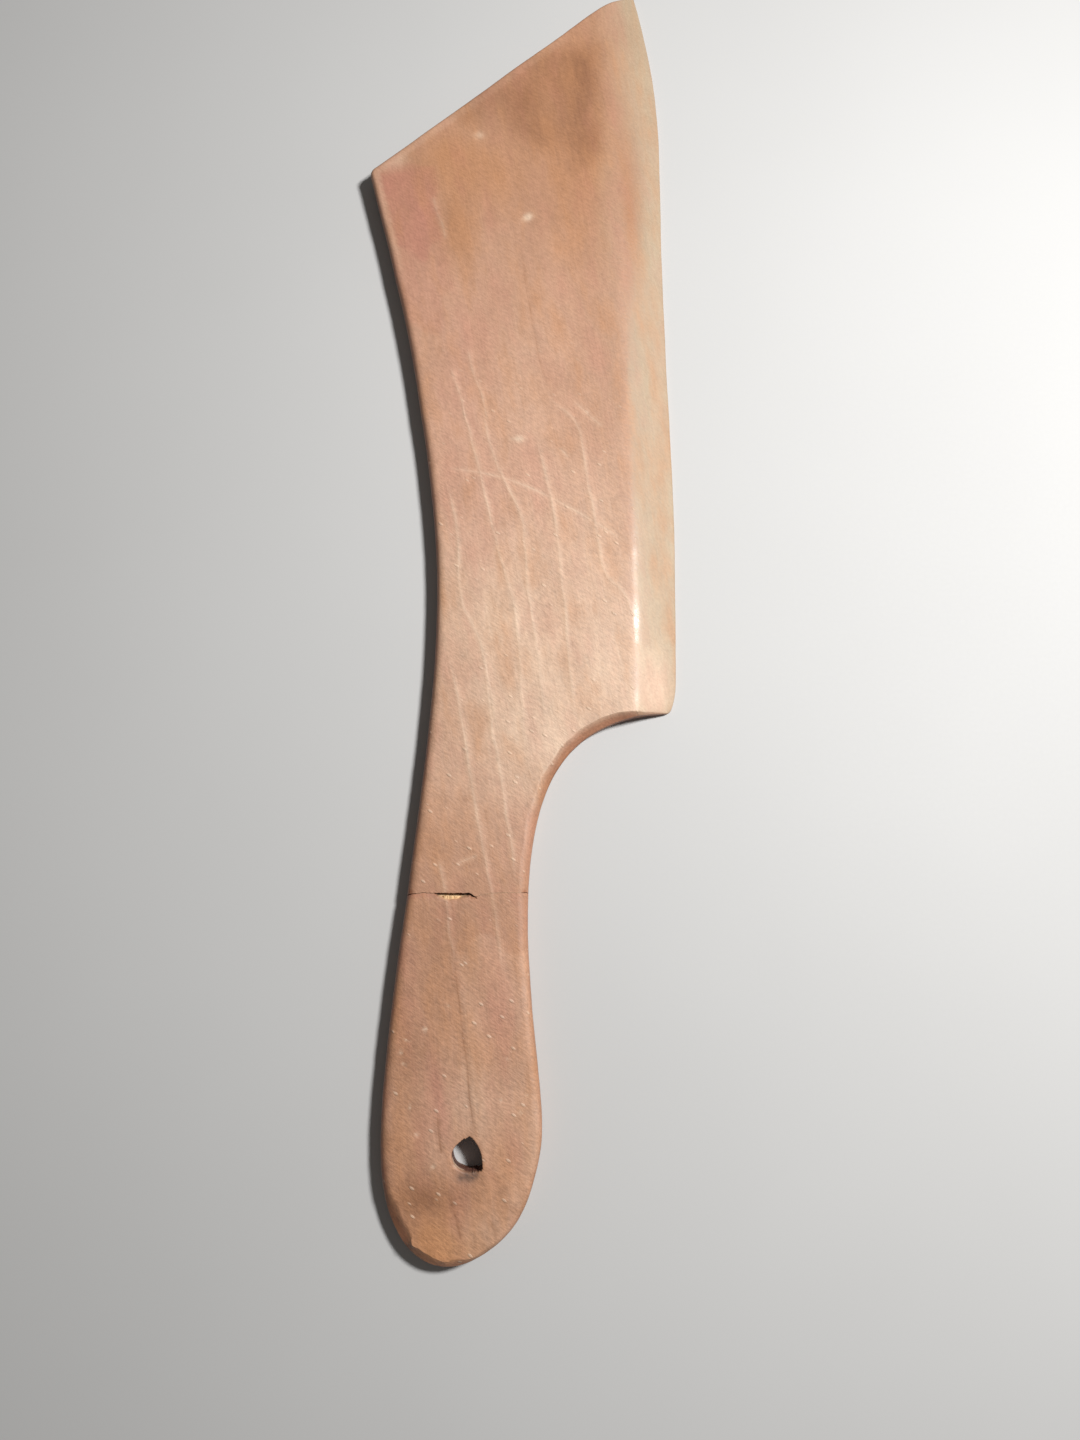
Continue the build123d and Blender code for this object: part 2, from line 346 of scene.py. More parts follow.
def outline():
    """Points round the board, clockwise from the right of the bulb, closer together at its corners."""
    path = np.vstack([
        spline([BULB_RIGHT, BUTT_RIGHT, BUTT_LOW_RIGHT, BUTT_BOTTOM_RIGHT, BUTT_BOTTOM, BUTT_BOTTOM_LEFT,
                BUTT_LOW_LEFT, BUTT_LEFT, BULB_LEFT], [(0, -1), (0, 1)])[:-1],
        spline([BULB_LEFT, GRIP_LEFT, WAIST_LEFT, BACK_LOWER, BACK_MIDDLE, BACK_UPPER, BACK_TOP, BACK_CORNER],
               [(0, 1), BACK_END_WAY])[:-1],
        spline([BACK_CORNER, BLADE_TIP])[:-1],
        spline([BLADE_TIP, EDGE_UPPER, EDGE_MIDDLE, EDGE_LOWER, EDGE_END])[:-1],
        spline([EDGE_END, HEEL_BULGE, HEEL])[:-1],
        spline([HEEL, CHOIL_TOP, CHOIL_MIDDLE, CHOIL_BOTTOM, WAIST_UPPER, WAIST_RIGHT, GRIP_RIGHT,
                BULB_UPPER_RIGHT, BULB_RIGHT], [CHOIL_START_WAY, (0, -1)])[:-1],
    ])
    for corner, reach in CORNER_REACH.items():
        near = np.flatnonzero(np.linalg.norm(path - corner, axis=1) < reach)
        a, b = path[near[0]], path[near[-1]]
        t = np.linspace(0, 1, 13)[1:-1, None]
        bend = (1 - t)**2 * a + 2 * t * (1 - t) * np.array(corner) + t**2 * b
        path = np.vstack([path[:near[0] + 1], bend, path[near[-1]:]])
    closed = np.vstack([path, path[:1]])
    middles = (closed[1:] + closed[:-1]) / 2
    near = np.min([np.linalg.norm(middles - corner, axis=1) for corner in CORNER_REACH], axis=0)
    density = (1 + 2 * np.exp(-(near / 3.0)**2)) / RIM_STEP
    count = np.concatenate([[0], np.cumsum(np.linalg.norm(np.diff(closed, axis=0), axis=1) * density)])
    wanted = np.linspace(0, count[-1], int(count[-1]), endpoint=False)
    return np.stack([np.interp(wanted, count, closed[:, k]) for k in (0, 1)], axis=1)


def outward(path):
    """Unit normals of a closed clockwise path."""
    way = np.roll(path, -1, axis=0) - np.roll(path, 1, axis=0)
    way /= np.linalg.norm(way, axis=1)[:, None]
    return np.stack([-way[:, 1], way[:, 0]], axis=1)


def station(path, point):
    """Which vertex of the path is nearest the point."""
    return int(np.argmin(np.linalg.norm(path - point, axis=1)))


RIM = outline()
RIM_OUT = outward(RIM)
RIM_WAVER = 0.05 * ripple(RIM[:, 0], RIM[:, 1], 9.0, 3) + 0.015 * ripple(RIM[:, 0], RIM[:, 1], 2.0, 4)
RIM = RIM + RIM_OUT * RIM_WAVER[:, None]
EDGE = RIM[station(RIM, BLADE_TIP):station(RIM, HEEL)][::-1]


def hole_loop():
    """The rim of the hanging hole, clockwise, with torn fibres at its upper and its lower right end."""
    loop = spline(HOLE, step=0.17)[:-1]
    x, y = loop.T
    ragged = 0.02 + 0.13 * smooth((y - 2.5) / 1.5) + 0.13 * smooth((-y - 1.6) / 0.8) * smooth(x / 1.5)
    wear = 0.04 * ripple(x, y, 1.2, 11) + ragged * jagged(np.arange(len(loop)) * 0.17, 0.2, 12)
    return loop * (1 + wear / np.linalg.norm(loop, axis=1))[:, None]


# Heights of the front face

def line_mark(x, y, kind, widening=1.0):
    """1 on the middle of each line of that kind, 0 beside it, and fading at its ends."""
    lines, half_width, _, seed = LINE_KINDS[kind]
    points = np.stack([x, y], axis=1)
    mark = np.zeros(len(points))
    for number, line in enumerate(lines):
        path = spline(line, step=1.0)
        path[:, 0] += 0.12 * ripple(path[:, 0] * 0, path[:, 1], 4.0, seed + number)
        low, high = path.min(0) - 1, path.max(0) + 1
        near = np.all((points > low) & (points < high), axis=1)
        away, share = distance_to(points[near], path)
        ends = smooth(share * 6) * smooth((1 - share) * 6)
        strength = ends * (0.85 + 0.2 * ripple(share, share * 0, 0.1, seed))
        mark[near] = np.maximum(mark[near], np.exp(-(away / (half_width * widening))**2) * strength)
    return mark


def stain(x, y, kind):
    """How strongly that kind of stain or wear shows at each point."""
    total = np.zeros(len(x))
    for cx, cy, half_width, half_height, lean, strength in STAINS[kind]:
        turn = math.radians(lean)
        u = ((x - cx) * math.cos(turn) + (y - cy) * math.sin(turn)) / half_width
        v = ((y - cy) * math.cos(turn) - (x - cx) * math.sin(turn)) / half_height
        total += strength * np.exp(-(u * u + v * v))
    return np.clip(total, 0, 1)


def patch(x, y, kind):
    """How strongly the patches of that kind show at each point: their edges waver with the grain."""
    points = np.stack([x + 0.5 * ripple(x, y, 3.0, 71), y + 1.4 * ripple(x, y, 5.0, 72)], axis=1)
    total = np.zeros(len(x))
    for strength, blur, corners in PATCHES.get(kind, []):
        loop = np.array([*corners, corners[0]], float)
        near = np.all((points > loop.min(0) - blur) & (points < loop.max(0) + blur), axis=1)
        away, _ = distance_to(points[near], loop)
        signed = np.where(inside(points[near], loop[:-1]), away, -away)
        total[near] += strength * smooth(0.5 + signed / blur)
    return total


def across_bevel(x, y):
    """0 on the bevel's ridge and 1 at the scraping edge."""
    ridge = lookup(y, RIDGE)
    return (x - ridge) / (np.interp(y, EDGE[:, 1], EDGE[:, 0]) - ridge)


def break_y(x, z):
    """The middle surface of the break: the line across the waist, torn into fibres."""
    return (lookup(x, BREAK_LINE) + 0.07 * jagged(x, 0.4, 21) + 0.05 * jagged(x, 0.17, 22)
            + 0.12 * ripple(x, z, 1.3, 23) * smooth((THICKNESS - z) / 3) - 0.08 * (THICKNESS - z))


def mouth_share(x, y):
    """On the handle, 0 below the mouth of the break and 1 at its far side."""
    width = lookup(x, MOUTH) + 0.12 * jagged(x, 0.3, 24) * (lookup(x, MOUTH) > 0.3)
    width = np.maximum(width, 1e-3)
    return smooth((y - (lookup(x, BREAK_LINE) - GLUE_THICKNESS / 2 - width)) / width)


def scoop_share(x, y):
    """On the handle, how deep the flake lost at the left end of the break is at each point."""
    below = lookup(x, BREAK_LINE) - y
    return lookup(x, SCOOP) * smooth(1 - below / (SCOOP_WIDTH * (1 + 0.25 * jagged(x, 0.8, 25))))


def front_height(x, y, on_handle):
    """Height of the front face over the back face."""
    softness = lookup(y, RIDGE_SOFTNESS)
    share = across_bevel(x, y)
    bevel = np.where(y > WAIST_UPPER[1], softness * np.logaddexp(0, share / softness), 0)
    height = THICKNESS - (THICKNESS - EDGE_LAND) * bevel
    height += 0.045 * ripple(x, y / 2, 18.0, 5) + 0.02 * ripple(x, y / 2, 5.0, 6) - 0.05
    for kind, (_, _, rise, _) in LINE_KINDS.items():
        height += rise * line_mark(x, y, kind)
    from_hole = np.hypot(x + 0.6, y + 1.2)
    height -= 0.2 * smooth((4.4 - from_hole) / 1.4) * smooth(-y / 2)
    if on_handle:
        depth = lookup(x, MOUTH_DEPTH)
        rough = 1 + 0.12 * jagged(x, 0.25, 26)
        height -= depth * rough * mouth_share(x, y)
        height -= scoop_share(x, y) * (1 + 0.25 * jagged(x + 0.3 * y, 0.35, 27))
    return height


# Meshes

class Shell:
    """Vertices and faces of one piece, as they are added."""

    def __init__(self):
        self.points = np.zeros((0, 3))
        self.faces = []

    def add(self, points):
        first = len(self.points)
        self.points = np.vstack([self.points, points])
        return np.arange(first, len(self.points))

    def skin(self, rows, closed=False):
        """Quads between rows of vertices, each row as long as the next."""
        for upper, lower in zip(rows, rows[1:]):
            if closed:
                upper, lower = np.append(upper, upper[0]), np.append(lower, lower[0])
            self.faces += [(int(a), int(b), int(c), int(d))
                           for a, b, c, d in zip(upper, upper[1:], lower[1:], lower)]

    def fill(self, loops, axes, step, place, lines=(), flipped=False):
        """Triangles inside the first loop of vertices and outside the others, on the plane of two axes.
        Points step apart are added between them, and lines of points. place gives a point's third axis."""
        loop_uv = [self.points[loop][:, axes] for loop in loops]
        ids = np.concatenate(loops)
        flat = [*np.concatenate(loop_uv)]
        edges, first = [], 0
        for loop in loops:
            edges += [(first + i, first + (i + 1) % len(loop)) for i in range(len(loop))]
            first += len(loop)
        held = [np.array(flat)]
        for line in lines:
            clear = inside(line, loop_uv[0]) & (nearest(line, held[0]) > 0.5 * step)
            for hole in loop_uv[1:]:
                clear &= ~inside(line, hole)
            where = np.flatnonzero(clear)
            edges += [(len(flat) + i, len(flat) + i + 1) for i in range(len(where) - 1)
                      if where[i + 1] == where[i] + 1]
            flat += [*line[where]]
            held.append(line[where])
        low, high = loop_uv[0].min(0), loop_uv[0].max(0)
        v, u = np.mgrid[low[1]:high[1]:step * 0.866, low[0]:high[0]:step]
        u = u + (np.arange(len(u)) % 2)[:, None] * step / 2
        spread = np.stack([u.ravel(), v.ravel()], axis=1)
        spread = spread[inside(spread, loop_uv[0])]
        spread = spread[nearest(spread, np.vstack(held)) > 0.62 * step]
        for hole in loop_uv[1:]:
            spread = spread[~inside(spread, hole)]
        flat += [*spread]
        out, _, triangles, origins, _, _ = delaunay_2d_cdt([Vector(p) for p in flat], edges, [], 1, 1e-5)
        out = np.array([tuple(p) for p in out])
        index = np.array([min(o) if o and min(o) < len(ids) else -1 for o in origins])
        new = np.flatnonzero(index < 0)
        points = np.zeros((len(new), 3))
        points[:, axes] = out[new]
        third = 3 - sum(axes)
        points[:, third] = place(out[new][:, 0], out[new][:, 1])
        final = np.where(index < 0, 0, ids[np.maximum(index, 0)])
        final[new] = self.add(points)
        centres = np.array([out[list(t)].mean(0) for t in triangles])
        kept = np.ones(len(triangles), bool)
        for hole in loop_uv[1:]:
            kept &= ~inside(centres, hole)
        for t in (t for t, k in zip(triangles, kept) if k):
            face = tuple(int(final[i]) for i in t)
            self.faces.append(face[::-1] if flipped else face)

    def mesh(self, name):
        data = bpy.data.meshes.new(name)
        data.from_pydata((self.points * MM).tolist(), [], self.faces)
        data.validate()
        data.shade_smooth()
        data.set_sharp_from_angle(angle=math.radians(38))
        piece = bpy.data.objects.new(name, data)
        bpy.context.scene.collection.objects.link(piece)
        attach(piece, "root")
        return piece


def nearest(points, others):
    """How far each point is from the nearest of the others."""
    tree = KDTree(len(others))
    for i, p in enumerate(others):
        tree.insert((p[0], p[1], 0), i)
    tree.balance()
    return np.array([tree.find((p[0], p[1], 0))[2] for p in points])


def rim_rings(on_handle):
    """Rings of points round the board, from the front face over the arris and the wall to the back face."""
    places = [station(RIM, point) for point, *_ in FRONT_ARRIS]
    order = np.argsort(places)
    around = np.arange(len(RIM))
    reach, fall, flatness = (
        np.interp(around, np.array(places)[order], np.array([row[k] for row in FRONT_ARRIS])[order],
                  period=len(RIM)) for k in (1, 2, 3))
    cut = smooth((4 - RIM[:, 1]) / 12)
    waver = (0.06 + 0.22 * cut) * ripple(RIM[:, 0], RIM[:, 1], 3.0, 15)
    reach = reach * (1 + waver + 0.12 * cut * jagged(around, 3, 16))
    at_edge = front_height(RIM[:, 0], RIM[:, 1], False)
    reach = np.minimum(reach, 0.45 * at_edge)
    fall = np.minimum(fall, 0.36 * at_edge)
    back = np.minimum(BACK_ARRIS, 0.3 * at_edge)
    rings = []

    def ring(inset, height):
        flat = RIM - RIM_OUT * inset[:, None]
        rings.append(np.column_stack([flat, height(flat) if callable(height) else height]))

    def front(flat):
        return front_height(flat[:, 0], flat[:, 1], on_handle)

    ring(reach + SUPPORT, front)
    for turn in np.linspace(0, math.pi / 2, ARRIS_STEPS + 1):
        share = turn / (math.pi / 2)
        inset = reach * ((1 - flatness) * (1 - math.sin(turn)) + flatness * (1 - share))
        drop = fall * ((1 - flatness) * (1 - math.cos(turn)) + flatness * share)
        ring(inset, lambda flat, drop=drop: front(flat) - drop)
    top = rings[-1][:, 2]
    for level in np.linspace(0, 1, WALL_STEPS + 1)[1:]:
        ring(0 * back, top + (back - top) * level)
    for turn in np.linspace(0, math.pi / 2, 5)[1:]:
        ring(back * (1 - math.cos(turn)), back * (1 - math.sin(turn)))
    ring(back + SUPPORT, 0 * back)
    return rings


def cut_rings(rings, side):
    """The stretch of each ring on one side of the break, with its ends on the break's own surface."""
    offset = side * GLUE_THICKNESS / 2
    over = np.array([side * (r[:, 1] - break_y(r[:, 0], r[:, 2]) - offset) for r in rings])
    clear = over.min(0) > 0.12
    count = len(RIM)
    first = next(i for i in range(count) if clear[i] and not clear[i - 1])
    length = next(k for k in range(1, count) if not clear[(first + k) % count])
    kept = (first + np.arange(length)) % count

    def end(ring, gap, start, way):
        window = (start + way * np.arange(0, 8)) % count
        place = np.interp(0, -gap[window], np.arange(8))
        point = np.array([np.interp(place, np.arange(8), ring[window, k]) for k in range(3)])
        point[1] = break_y(point[0], point[2]) + offset
        return point

    return [np.vstack([end(r, o, kept[0], -1), r[kept], end(r, o, kept[-1], 1)]) for r, o in zip(rings, over)]


def break_edge(start, finish, side, height, step=0.22):
    """Points along the break between two points of its surface, at the height that height(x, y) gives."""
    x = np.linspace(start[0], finish[0], int(abs(finish[0] - start[0]) / step) + 1)[1:-1]
    z = height(x, lookup(x, BREAK_LINE))
    for _ in range(4):
        y = break_y(x, z) + side * GLUE_THICKNESS / 2
        z = height(x, y)
    return np.column_stack([x, y, z])


def line_rails():
    """Lines of vertices on and beside each vein, scratch, seam and nick, so that the mesh can hold them."""
    rails = []
    for lines, half_width, _, seed in LINE_KINDS.values():
        for number, line in enumerate(lines):
            path = spline(line, step=0.6)
            path[:, 0] += 0.12 * ripple(path[:, 0] * 0, path[:, 1], 4.0, seed + number)
            way = np.gradient(path, axis=0)
            across = np.stack([-way[:, 1], way[:, 0]], axis=1) / np.linalg.norm(way, axis=1)[:, None]
            rails += [path + across * k * half_width * 1.15 for k in (-1, 0, 1)]
    return rails


def board_piece(name, side, holes=()):
    """The blade (side 1) or the handle (side -1): rim, both faces, the break's face and any hole."""
    on_handle = side < 0
    shell = Shell()
    rows = [shell.add(ring) for ring in cut_rings(rim_rings(on_handle), side)]
    shell.skin(rows)

    def front(x, y):
        return front_height(x, y, on_handle)

    def back(x, y):
        return np.zeros(len(x))

    front_loop, back_loop = rows[0], rows[-1]
    upper = shell.add(break_edge(shell.points[front_loop[-1]], shell.points[front_loop[0]], side, front))
    lower = shell.add(break_edge(shell.points[back_loop[-1]], shell.points[back_loop[0]], side, back))
    front_loops = [np.concatenate([front_loop, upper])]
    back_loops = [np.concatenate([back_loop, lower])]
    for hole in holes:
        hole_rows = [shell.add(ring) for ring in hole_rings(hole, front)]
        shell.skin(hole_rows[::-1], closed=True)
        front_loops.append(hole_rows[0])
        back_loops.append(hole_rows[-1])
    extra = line_rails()
    if on_handle:
        extra += mouth_rails()
    shell.fill(front_loops, [0, 1], FRONT_STEP, front, extra)
    shell.fill(back_loops, [0, 1], BACK_STEP, back, flipped=True)
    ends = [np.array([row[0] for row in rows]), np.array([row[-1] for row in rows])]
    face_loop = np.concatenate([ends[0], lower[::-1], ends[1][::-1], upper])
    shell.fill([face_loop], [0, 2], BREAK_STEP, lambda x, z: break_y(x, z) + side * GLUE_THICKNESS / 2,
               flipped=on_handle)
    return shell


def mouth_rails():
    """Lines of vertices across the torn mouth and the lost flake, on the handle."""
    rails = []
    for share in (1.0, 0.85, 0.65, 0.45, 0.25, 0.1):
        x = np.arange(-7.5, 1.5, 0.2)
        width = lookup(x, MOUTH) + 0.12 * jagged(x, 0.3, 24) * (lookup(x, MOUTH) > 0.3)
        rails.append(np.column_stack([x, lookup(x, BREAK_LINE) - GLUE_THICKNESS / 2 - width * share]))
    for below in (0.3, 0.6, 0.9, 1.3, 1.7):
        x = np.arange(-14.5, -7.9, 0.33)
        rails.append(np.column_stack([x, lookup(x, BREAK_LINE) - below]))
    return rails


def hole_rings(loop, front):
    """Rings down the hole, from the worn front arris to the back."""
    out = outward(loop)
    worn = 0.3 + 0.25 * smooth((-loop[:, 0] - loop[:, 1]) / 4)
    rings = []
    for turn in np.linspace(0, math.pi / 2, 5):
        flat = loop + out * (worn * (1 - math.sin(turn)))[:, None]
        rings.append(np.column_stack([flat, front(flat[:, 0], flat[:, 1]) - worn * (1 - math.cos(turn))]))
    top = rings[-1][:, 2]
    for level in np.linspace(0, 1, 7)[1:]:
        wobble = 0.04 * ripple(loop[:, 0] * 3, level * 6 + 0 * top, 2.0, 13)
        rings.append(np.column_stack([loop + out * wobble[:, None], top + (0.3 - top) * level]))
    rings.append(np.column_stack([loop + out * 0.1, 0 * top + 0.08]))
    rings.append(np.column_stack([loop + out * 0.3, 0 * top]))
    return rings


def glue_shell():
    """The film of glue in the break: it follows the torn faces and stops short of the surface."""
    shell = Shell()
    recess, half = 0.01, GLUE_THICKNESS / 2 - 0.01
    x = np.linspace(GLUE_LEFT, GLUE_RIGHT, 110)
    surface = front_height(x, lookup(x, BREAK_LINE) - GLUE_THICKNESS / 2, True)
    rounding = 1.6 * (smooth((-11.6 - x) / 1.6) + smooth((x - 11.3) / 1.6))
    top = surface - recess - rounding - 0.02 * (1 + jagged(x, 0.5, 31))
    rows = {}
    for side in (-1, 1):
        for k, level in enumerate(np.linspace(0, 1, 9)):
            z = 0.15 + 0.3 * rounding + (top - 0.15 - 0.3 * rounding) * level
            rows[side, k] = shell.add(np.column_stack([x, break_y(x, z) + side * half, z]))
    shell.skin([rows[-1, k] for k in range(9)])
    shell.skin([rows[1, k] for k in range(8, -1, -1)])
    shell.skin([rows[-1, 8], rows[1, 8]])
    shell.skin([rows[1, 0], rows[-1, 0]])
    for place, way in ((0, 1), (-1, -1)):
        columns = [[rows[side, k][place] for k in range(9)] for side in (-1, 1)]
        shell.skin(columns[::way])
    return shell


def sliver_shell():
    """The torn sliver: a wedge of fibres that stands in the mouth, with a ragged top."""
    shell = Shell()
    length = np.linspace(SLIVER_LEFT, SLIVER_RIGHT, 46)
    rows = []
    for x in length:
        along = (x - SLIVER_LEFT) / (SLIVER_RIGHT - SLIVER_LEFT)
        body = smooth(along * 5) * smooth((1 - along) * 3)
        ragged = 0.22 * float(jagged(x, 0.27, 33)) + 0.1 * float(jagged(x, 0.12, 34))
        high = THICKNESS - 0.25 - 0.9 * (1 - body) + ragged * 0.6
        far = SLIVER_FAR + 0.06 * float(jagged(x, 0.5, 35))
        near = far - 0.15 - 1.2 * body * (1 + 0.22 * float(jagged(x, 0.45, 36)))
        low = high - 0.25 - 1.2 * body
        middle = (far + near) / 2
        section = [(far, low), (far + 0.02, (low + high) / 2), (far, high - 0.1), (far - 0.08, high),
                   (middle + 0.1, high - 0.1 + 0.1 * ragged), (middle - 0.1, high - 0.3),
                   (near + 0.05, high - 0.55 * body - 0.1), (near, high - 0.75 * body - 0.12),
                   (middle, low - 0.02)]
        rows.append(shell.add(np.array([(x, y, z) for y, z in section])))
    shell.skin(rows, closed=True)
    shell.faces.append(tuple(int(i) for i in rows[0][::-1]))
    shell.faces.append(tuple(int(i) for i in rows[-1]))
    return shell


# Materials

class Nodes:
    """A material under construction. Sockets are given as other nodes' outputs or as plain values."""

    def __init__(self, name):
        self.material = bpy.data.materials.new(name)
        self.material.use_nodes = True
        self.tree = self.material.node_tree
        self.shader = self.tree.nodes["Principled BSDF"]

    def node(self, kind, inputs=(), output=0, **settings):
        node = self.tree.nodes.new(kind)
        for key, value in settings.items():
            setattr(node, key, value)
        for key, value in dict(inputs).items():
            self.put(node.inputs[key], value)
        return node.outputs[output]

    def put(self, socket, value):
        if isinstance(value, bpy.types.NodeSocket):
            self.tree.links.new(value, socket)
        else:
            socket.default_value = value

    def math(self, operation, *values, clamp=False):
        return self.node("ShaderNodeMath", enumerate(values), operation=operation, use_clamp=clamp)

    def attribute(self, name):
        return self.node("ShaderNodeAttribute", output="Fac", attribute_name=name)

    def place(self, scale, lean=0.0, shift=0.0):
        """Object coordinates in millimetres, turned so that y runs along the grain, then scaled."""
        coordinates = self.node("ShaderNodeTexCoord", output="Object")
        turned = self.node("ShaderNodeMapping", {
            "Vector": coordinates, "Rotation": (0, 0, math.radians(lean)), "Scale": (1000, 1000, 1000)})
        return self.node("ShaderNodeMapping", {"Vector": turned, "Location": (shift, shift, shift),
                                               "Scale": scale})

    def noise(self, place, detail=2.0, roughness=0.5):
        return self.node("ShaderNodeTexNoise", {"Vector": place, "Scale": 1.0, "Detail": detail,
                                                "Roughness": roughness})

    def spread(self, value, low, high, to_low=0.0, to_high=1.0):
        return self.node("ShaderNodeMapRange", {"Value": value, "From Min": low, "From Max": high,
                                                "To Min": to_low, "To Max": to_high})

    def mix(self, share, first, second, blend="MIX"):
        node = self.tree.nodes.new("ShaderNodeMix")
        node.data_type, node.blend_type = "RGBA", blend
        self.put(node.inputs[0], share)
        self.put(node.inputs[6], first)
        self.put(node.inputs[7], second)
        return node.outputs[2]

    def relief(self, height, distance, strength=1.0):
        return self.node("ShaderNodeBump", {"Height": height, "Distance": distance * MM,
                                            "Strength": strength})


TAN = (0.36, 0.18, 0.1, 1)
TAN_LIGHT = (0.42, 0.22, 0.135, 1)
ROSE = (0.41, 0.165, 0.115, 1)
ORANGE = (0.43, 0.2, 0.09, 1)
DARK = (0.25, 0.11, 0.052, 1)
PALE = (0.5, 0.3, 0.2, 1)
CREAM = (0.62, 0.45, 0.32, 1)
GRIME = (0.1, 0.058, 0.04, 1)
# End grain's colour, also used as painted shade on the sides away from the lamp and on the choil's wall
END_GRAIN_AND_SHADE = (0.25, 0.085, 0.035, 1)
FRESH = (0.86, 0.6, 0.34, 1)
STRAW = (0.395, 0.3, 0.2, 1)
# Painted shade: the dark put inside the hanging hole and in the gap of the break
PAINTED_SHADE = (0.07, 0.025, 0.015, 1)
SHADES = {"pale": PALE, "straw": STRAW, "rose": ROSE, "orange": ORANGE, "dark": DARK, "cream": CREAM,
          "end_grain_and_shade": END_GRAIN_AND_SHADE, "painted_shade": PAINTED_SHADE}
FUZZ_LEAN = 35              # raised fibres lie at this angle across the face
POLISH = [(118, 5, 1.0), (133, 8, 0.4), (102, 6, 0.4)]   # (y, spread, strength) of the shine on the ridge


def wood(name, lean):
    """Worn, unvarnished wood, its grain leaning by that many degrees from the y axis."""
    n = Nodes(name)
    figure = n.noise(n.place((0.22, 0.012, 0.22), lean), 3.0, 0.6)
    patches = n.noise(n.place((0.11, 0.06, 0.11), lean, 7.0), 4.0, 0.6)
    hue = n.noise(n.place((0.16, 0.05, 0.16), lean, 31.0), 3.0, 0.6)
    fibres = n.noise(n.place((2.4, 0.12, 2.4), lean, 3.0), 3.0, 0.6)
    fuzz = n.noise(n.place((0.8, 2.4, 2.4), FUZZ_LEAN, 11.0), 4.0, 0.65)
    blotches = n.noise(n.place((0.4, 0.16, 0.4), lean, 17.0), 3.0, 0.6)
    tone = n.math("ADD", n.spread(figure, 0.3, 0.7, 0.0, 0.45), n.spread(patches, 0.3, 0.7, 0.0, 0.55))
    colour = n.mix(tone, TAN, TAN_LIGHT)
    for kind, shade in SHADES.items():
        share = n.math("MULTIPLY", n.attribute(kind), n.spread(patches, 0.3, 0.7, 0.65, 1.2), clamp=True)
        colour = n.mix(share, colour, shade)
    colour = n.mix(n.spread(hue, 0.5, 0.7, 0.0, 0.45), colour, ORANGE)
    colour = n.mix(n.spread(hue, 0.5, 0.3, 0.0, 0.25), colour, ROSE)
    colour = n.mix(n.math("MULTIPLY", n.attribute("line"), 0.6), colour, CREAM)
    colour = n.mix(n.math("MULTIPLY", n.attribute("seam"), 0.75), colour, DARK)
    colour = n.mix(n.attribute("fresh"), colour, FRESH)
    colour = n.mix(n.math("MULTIPLY", n.attribute("grime"), n.spread(fuzz, 0.35, 0.6, 0.4, 1.0), clamp=True),
                   colour, GRIME)
    flecks = {"Vector": n.place((0.22, 0.5, 0.5), FUZZ_LEAN, 5.0), "Scale": 1.0}
    spot = n.node("ShaderNodeTexVoronoi", flecks)
    chosen = n.node("ShaderNodeSeparateColor", {0: n.node("ShaderNodeTexVoronoi", flecks, output=1)})
    sparkle = n.math("MULTIPLY", n.spread(spot, 0.17, 0.08), n.spread(chosen, 0.4, 0.42))
    sparkle = n.math("MULTIPLY", sparkle, n.spread(n.attribute("rough"), 0.65, 0.85))
    colour = n.mix(n.math("MULTIPLY", sparkle, 0.5), colour, CREAM)
    uneven = n.math("ADD", n.spread(fuzz, 0.3, 0.7, -0.16, 0.23), n.spread(blotches, 0.3, 0.7, -0.08, 0.08))
    uneven = n.math("MULTIPLY", uneven, n.attribute("rough"))
    grey = n.math("ADD", n.spread(fibres, 0.3, 0.7, 0.965, 1.035), uneven)
    colour = n.mix(1.0, colour, n.node("ShaderNodeCombineColor", {0: grey, 1: grey, 2: grey}), "MULTIPLY")
    n.put(n.shader.inputs["Base Color"], colour)
    polish = n.math("MULTIPLY", n.attribute("polish"), 0.4)
    n.put(n.shader.inputs["Roughness"], n.math("SUBTRACT", n.spread(fuzz, 0.3, 0.7, 0.5, 0.62), polish))
    height = n.math("ADD", n.math("ADD", n.math("MULTIPLY", fibres, 0.4), fuzz), sparkle)
    n.put(n.shader.inputs["Normal"], n.relief(height, 0.12, 0.7))
    return n.material


def fresh_wood():
    """The sliver's torn, unweathered fibres."""
    n = Nodes("fresh_wood")
    fibres = n.noise(n.place((0.6, 5.0, 5.0), 0.0, 5.0), 3.0, 0.6)
    colour = n.mix(n.spread(fibres, 0.35, 0.65), FRESH, (0.72, 0.43, 0.2, 1))
    n.put(n.shader.inputs["Base Color"], colour)
    n.put(n.shader.inputs["Roughness"], n.spread(fibres, 0.3, 0.7, 0.6, 0.8))
    n.put(n.shader.inputs["Normal"], n.relief(fibres, 0.08, 0.8))
    return n.material


def glue():
    """Dried wood glue, browned with dirt."""
    n = Nodes("glue")
    cloud = n.noise(n.place((1.5, 1.5, 1.5), 0.0, 9.0), 3.0)
    n.put(n.shader.inputs["Base Color"], n.mix(cloud, (0.3, 0.16, 0.09, 1), (0.5, 0.32, 0.2, 1)))
    n.put(n.shader.inputs["Roughness"], n.spread(cloud, 0.3, 0.7, 0.35, 0.5))
    n.put(n.shader.inputs["Normal"], n.relief(cloud, 0.05, 0.5))
    return n.material


def floor_paint():
    """A plain pale floor, very slightly uneven in tone."""
    n = Nodes("floor_paint")
    cloud = n.noise(n.place((0.01, 0.01, 0.01)), 3.0)
    grain = n.noise(n.place((1.2, 1.2, 1.2)), 3.0)
    n.put(n.shader.inputs["Base Color"], n.mix(cloud, (0.5, 0.495, 0.485, 1), (0.54, 0.535, 0.525, 1)))
    n.put(n.shader.inputs["Roughness"], n.spread(grain, 0.3, 0.7, 0.75, 0.85))
    return n.material
